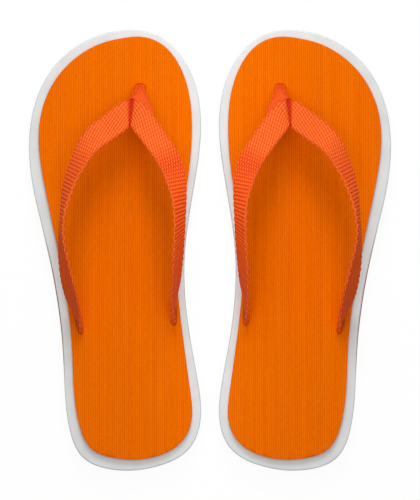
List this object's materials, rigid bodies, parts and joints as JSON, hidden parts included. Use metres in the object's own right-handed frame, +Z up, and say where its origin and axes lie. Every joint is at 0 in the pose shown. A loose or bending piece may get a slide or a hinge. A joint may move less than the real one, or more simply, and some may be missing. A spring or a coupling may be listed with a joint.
{
  "type": "thong sandals",
  "caption": "Pair of flat thong sandals: laminated foam soles with a ribbed footbed, and Y straps of woven webbing running through the sole to recessed plugs.",
  "frame": {"origin": "on the ground, in the middle of the pair's bounding box, halfway between the two sandals", "axes": "+Z up, +Y from heel to toe, +X towards the right sandal"},
  "size_m": [0.2178, 0.2652, 0.0605],
  "materials": {
    "outsole_rubber": "matt moulded EVA rubber with a shallow chevron tread",
    "midsole_foam": "closed-cell EVA foam, cut and lightly sanded edge",
    "footbed_foam": "closed-cell EVA foam, cut edge",
    "footbed_cloth": "fine lengthwise ribbed cloth, bonded to the foam",
    "webbing": "flat woven polypropylene webbing",
    "thread": "twisted polyester sewing thread",
    "plug_plastic": "moulded soft plastic"
  },
  "bodies": {
    "left_sandal": {"left_outsole": "outsole_rubber", "left_midsole": "midsole_foam", "left_footbed_foam": "footbed_foam", "left_footbed_cover": "footbed_cloth", "left_strap_outer": "webbing", "left_strap_inner": "webbing", "left_toe_post": "webbing", "left_apex_stitching": "thread", "left_toe_plug": "plug_plastic", "left_outer_plug": "plug_plastic", "left_inner_plug": "plug_plastic"},
    "right_sandal": {"right_outsole": "outsole_rubber", "right_midsole": "midsole_foam", "right_footbed_foam": "footbed_foam", "right_footbed_cover": "footbed_cloth", "right_strap_outer": "webbing", "right_strap_inner": "webbing", "right_toe_post": "webbing", "right_apex_stitching": "thread", "right_toe_plug": "plug_plastic", "right_outer_plug": "plug_plastic", "right_inner_plug": "plug_plastic"}
  },
  "joints": [
    {"name": "right_sandal_lift", "type": "slide", "parent": "left_sandal", "child": "right_sandal", "axis": [0, 0, 1], "range_m": [0, 0.12]}
  ]
}
